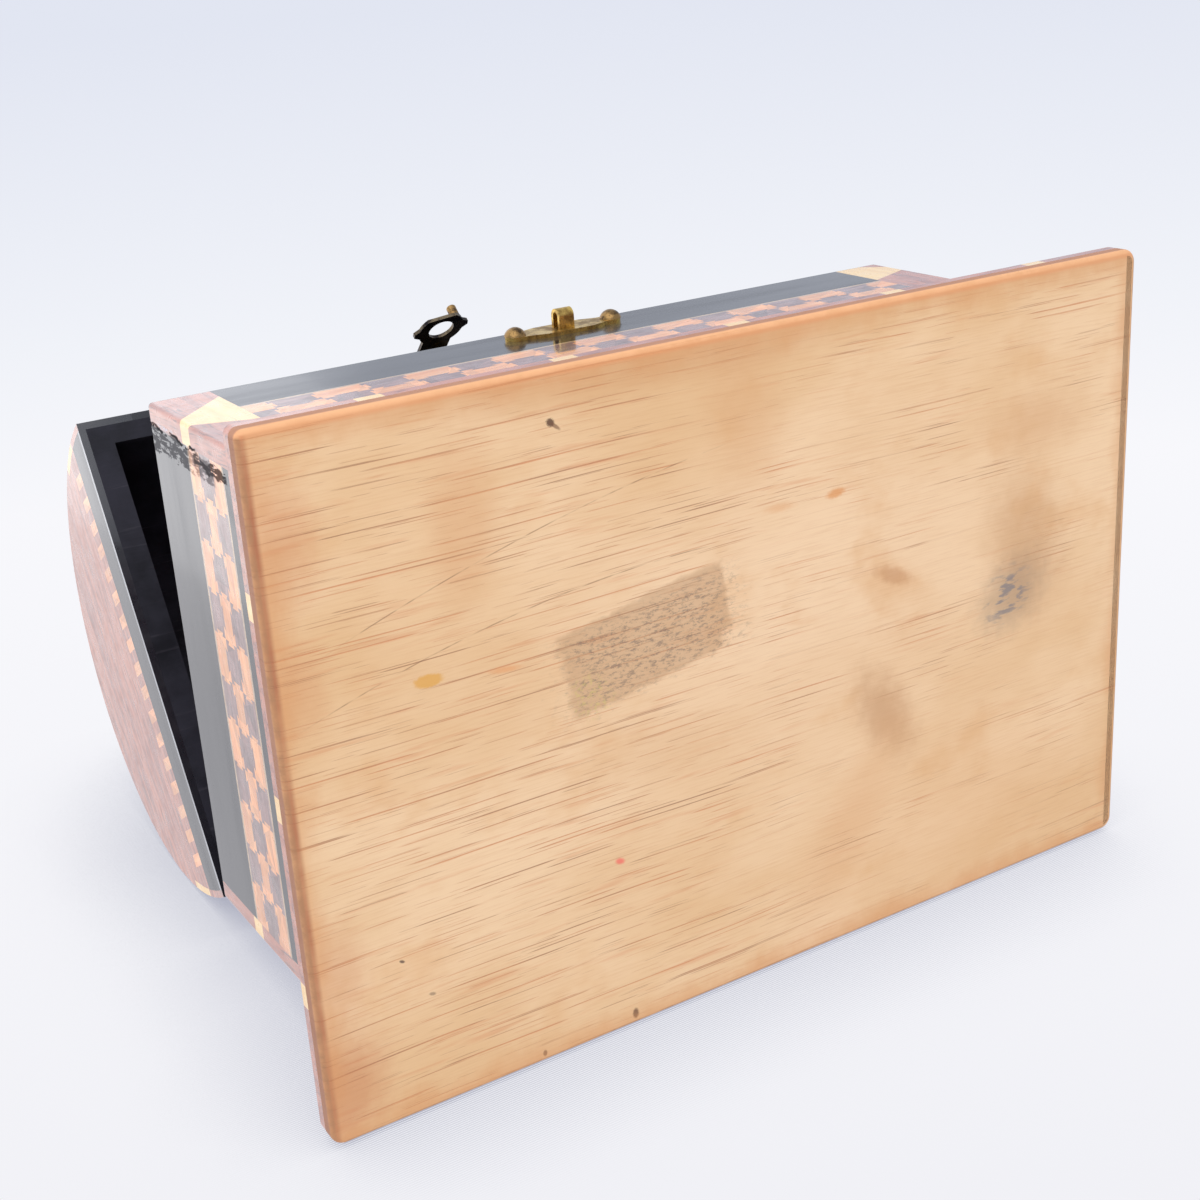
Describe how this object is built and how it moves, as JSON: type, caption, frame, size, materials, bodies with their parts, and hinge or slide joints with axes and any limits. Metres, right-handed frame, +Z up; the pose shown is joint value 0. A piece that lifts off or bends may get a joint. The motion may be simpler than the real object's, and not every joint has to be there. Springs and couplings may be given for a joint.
{
  "type": "marquetry jewellery box",
  "caption": "Small wooden marquetry box on a wider base board, with a hinged barrel-vault lid standing ajar, a brass hasp and a staple.",
  "frame": {"origin": "centre of the base board's underside", "axes": "+X to the box's right along its length, -Y out of its front, +Z up"},
  "size_m": [0.182, 0.124, 0.1474],
  "materials": {
    "plywood": "bare sanded plywood, worn and stained",
    "rosewood": "polished lacquer over rosewood",
    "lemonwood": "polished lacquer over lemonwood",
    "light_tile": "polished orange-stained marquetry",
    "dark_tile": "polished grey-brown marquetry",
    "stringing": "polished pale stringing",
    "lacquer": "gloss black lacquer over wood",
    "stained_core": "black-stained wood, satin",
    "felt": "red felt",
    "brass": "tarnished brass"
  },
  "bodies": {
    "box": {"base_board": "plywood", "base_border": "rosewood", "body_hinge_leaves": "brass", "body_hinge_nails": "brass", "border_inlays": "lemonwood", "corner_lemonwood": "lemonwood", "corner_rosewood": "rosewood", "floor_felt": "felt", "front_dark_tiles": "dark_tile", "front_light_tiles": "light_tile", "front_upper_panel": "lacquer", "front_wall": "stained_core", "hinge_pins": "brass", "left_dark_tiles": "dark_tile", "left_light_tiles": "light_tile", "left_upper_panel": "lacquer", "left_wall": "stained_core", "lower_panels": "lacquer", "rear_dark_tiles": "dark_tile", "rear_light_tiles": "light_tile", "rear_upper_panel": "lacquer", "rear_wall": "stained_core", "right_dark_tiles": "dark_tile", "right_light_tiles": "light_tile", "right_upper_panel": "lacquer", "right_wall": "stained_core", "staple_loop": "brass", "staple_nails": "brass", "staple_plate": "brass", "stringing": "stringing", "wall_felt": "felt"},
    "lid": {"lid_black_strips": "lacquer", "lid_corner_lemonwood": "lemonwood", "lid_corner_rosewood": "rosewood", "lid_crown_mosaic": "light_tile", "lid_dash_ground": "dark_tile", "lid_dashes": "light_tile", "lid_edge_mosaics": "light_tile", "lid_end_bands": "lacquer", "lid_hinge_leaves": "brass", "lid_hinge_nails": "brass", "lid_left_end": "stained_core", "lid_left_field": "rosewood", "lid_right_end": "stained_core", "lid_right_field": "rosewood", "lid_rim_strips": "stringing", "lid_rosewood_fields": "rosewood", "lid_stringing": "stringing", "dome_board": "stained_core", "hasp_leaf": "brass", "hasp_pin": "brass", "hasp_nails": "brass"},
    "hasp": {"hasp_flap": "brass", "hasp_post": "brass"}
  },
  "joints": [
    {"name": "lid_hinge", "type": "hinge", "parent": "box", "child": "lid", "pos_m": [0, 0.0518, 0.07115], "axis": [-1, 0, 0], "range_deg": [-30.5, 69.5]},
    {"name": "hasp_hinge", "type": "hinge", "parent": "lid", "child": "hasp", "pos_m": [0.0017, -0.03585, 0.12806], "axis": [-1, 0, 0], "range_deg": [-15, 125]}
  ]
}
